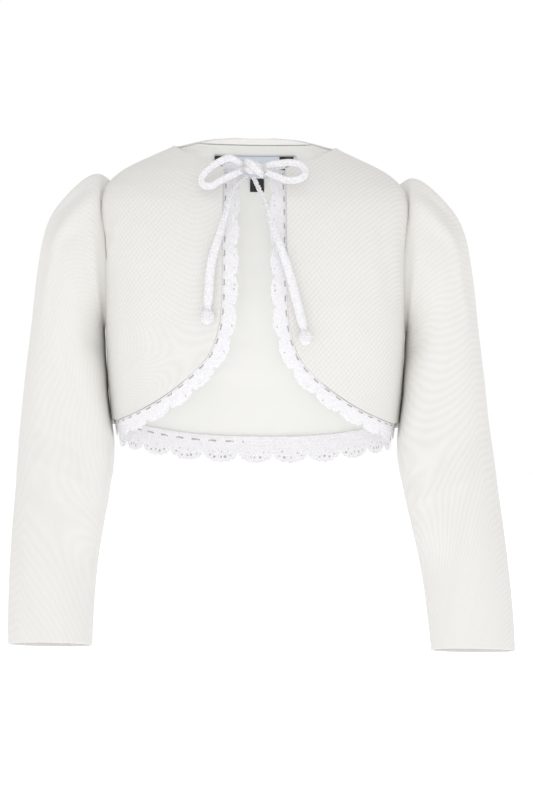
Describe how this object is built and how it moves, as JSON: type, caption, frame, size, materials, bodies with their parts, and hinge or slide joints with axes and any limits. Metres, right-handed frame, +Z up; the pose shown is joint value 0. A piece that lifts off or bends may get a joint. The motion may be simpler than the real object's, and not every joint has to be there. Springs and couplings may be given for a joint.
{
  "type": "child's bolero jacket, worn form",
  "caption": "Child's cropped bolero jacket in its worn, hollow form: open rounded fronts, long sleeves with pleated heads, lace trim and a bow at the neck.",
  "frame": {"origin": "the wearer's neck, on the centre line, level with the side neck points and half way through the body", "axes": "+Z up, the fronts face -Y, +X to the viewer's right"},
  "size_m": [0.417, 0.1896, 0.4318],
  "materials": {
    "cloth": "off-white honeycomb weave, matt",
    "lining": "smooth off-white plain weave",
    "lace": "white crocheted cotton",
    "tie": "white crocheted cotton tape",
    "label": "plain woven label with black ends",
    "black_tab": "black woven tape"
  },
  "bodies": {
    "root": {"back": "cloth", "front_left": "cloth", "front_right": "cloth", "sleeve_left": "cloth", "sleeve_right": "cloth", "back_neck_facing": "cloth", "back_lining": "lining", "lace_front_left": "lace", "lace_front_right": "lace", "lace_back_hem": "lace", "neck_label": "label", "size_label": "black_tab", "tie_knot": "tie", "tie_loop_left": "tie", "tie_loop_right": "tie", "tie_tail_left": "tie", "tie_tail_right": "tie", "tie_knob_left": "tie", "tie_knob_right": "tie"}
  },
  "joints": []
}
